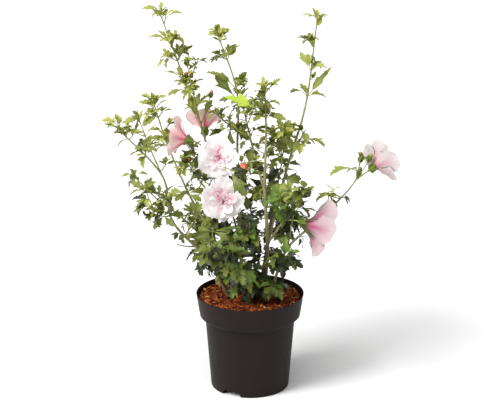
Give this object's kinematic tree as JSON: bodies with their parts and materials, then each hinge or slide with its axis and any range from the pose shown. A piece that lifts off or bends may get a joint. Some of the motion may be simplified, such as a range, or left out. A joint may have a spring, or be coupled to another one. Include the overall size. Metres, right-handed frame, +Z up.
{
  "type": "double-flowered hibiscus shrub in nursery pot",
  "caption": "Potted hibiscus shrub: slender canes rise from bark mulch in a tapered nursery pot, with leafy side shoots, buds and pale pink ruffled blooms.",
  "frame": {"origin": "middle of the flat underside of the pot", "axes": "+Z up along the shrub's height, -Y towards the front, +X to the right seen from the front"},
  "size_m": [0.5972, 0.4196, 0.7913],
  "materials": {
    "pot": "soft satin",
    "bark": "rough chips",
    "cane": "matte bark",
    "leaf": "satin leaf",
    "young_leaf": "satin leaf",
    "pale_petal": "soft petal",
    "pink_petal": "soft petal"
  },
  "bodies": {
    "root": {"pot": "pot", "bark_mulch": "bark", "cane_left_tall": "cane", "cane_left": "cane", "cane_far_left": "cane", "cane_low_left": "cane", "cane_middle": "cane", "cane_main": "cane", "cane_right_tall": "cane", "cane_far_right": "cane", "cane_back_left": "cane", "cane_back_right": "cane", "cane_front": "cane", "bough_left_fork": "cane", "bough_middle_right": "cane", "bough_front_right": "cane", "bough_low_bud": "cane", "bloom_double_upper": "pale_petal", "bloom_double_lower": "pale_petal", "bloom_left_outer": "pink_petal", "bloom_left_inner": "pink_petal", "bloom_low_right": "pink_petal", "bloom_far_right": "pink_petal", "bloom_back": "pale_petal", "leaves_left_tall": "young_leaf", "leaves_left": "young_leaf", "leaves_far_left": "young_leaf", "leaves_low_left": "leaf", "leaves_middle": "young_leaf", "leaves_main": "leaf", "leaves_right_tall": "young_leaf", "leaves_back_left": "leaf", "leaves_back_right": "leaf", "leaves_front": "leaf", "leaves_left_fork": "young_leaf", "leaves_middle_right": "leaf", "leaves_front_right": "leaf", "leaves_low_bud": "leaf", "leaves_left_bud": "young_leaf", "leaves_far_right_buds": "leaf", "leaves_far_right_leaf": "leaf", "leaves_left_big": "leaf", "leaves_left_low": "leaf", "leaves_left_inner": "leaf", "leaves_under_bloom": "leaf", "leaves_middle_low": "leaf", "leaves_middle_bud": "leaf", "leaves_middle_high": "leaf", "leaves_middle_waist": "leaf", "leaves_main_low_left": "leaf", "leaves_main_waist": "leaf", "leaves_main_bright": "leaf", "leaves_soil_leaf": "leaf", "leaves_right_low": "leaf", "leaves_right_dark": "leaf", "leaves_right_broad": "leaf", "leaves_right_fan": "leaf", "leaves_back_low": "leaf", "leaves_back_right_low": "leaf", "leaves_back_left_low": "leaf"}
  },
  "joints": []
}
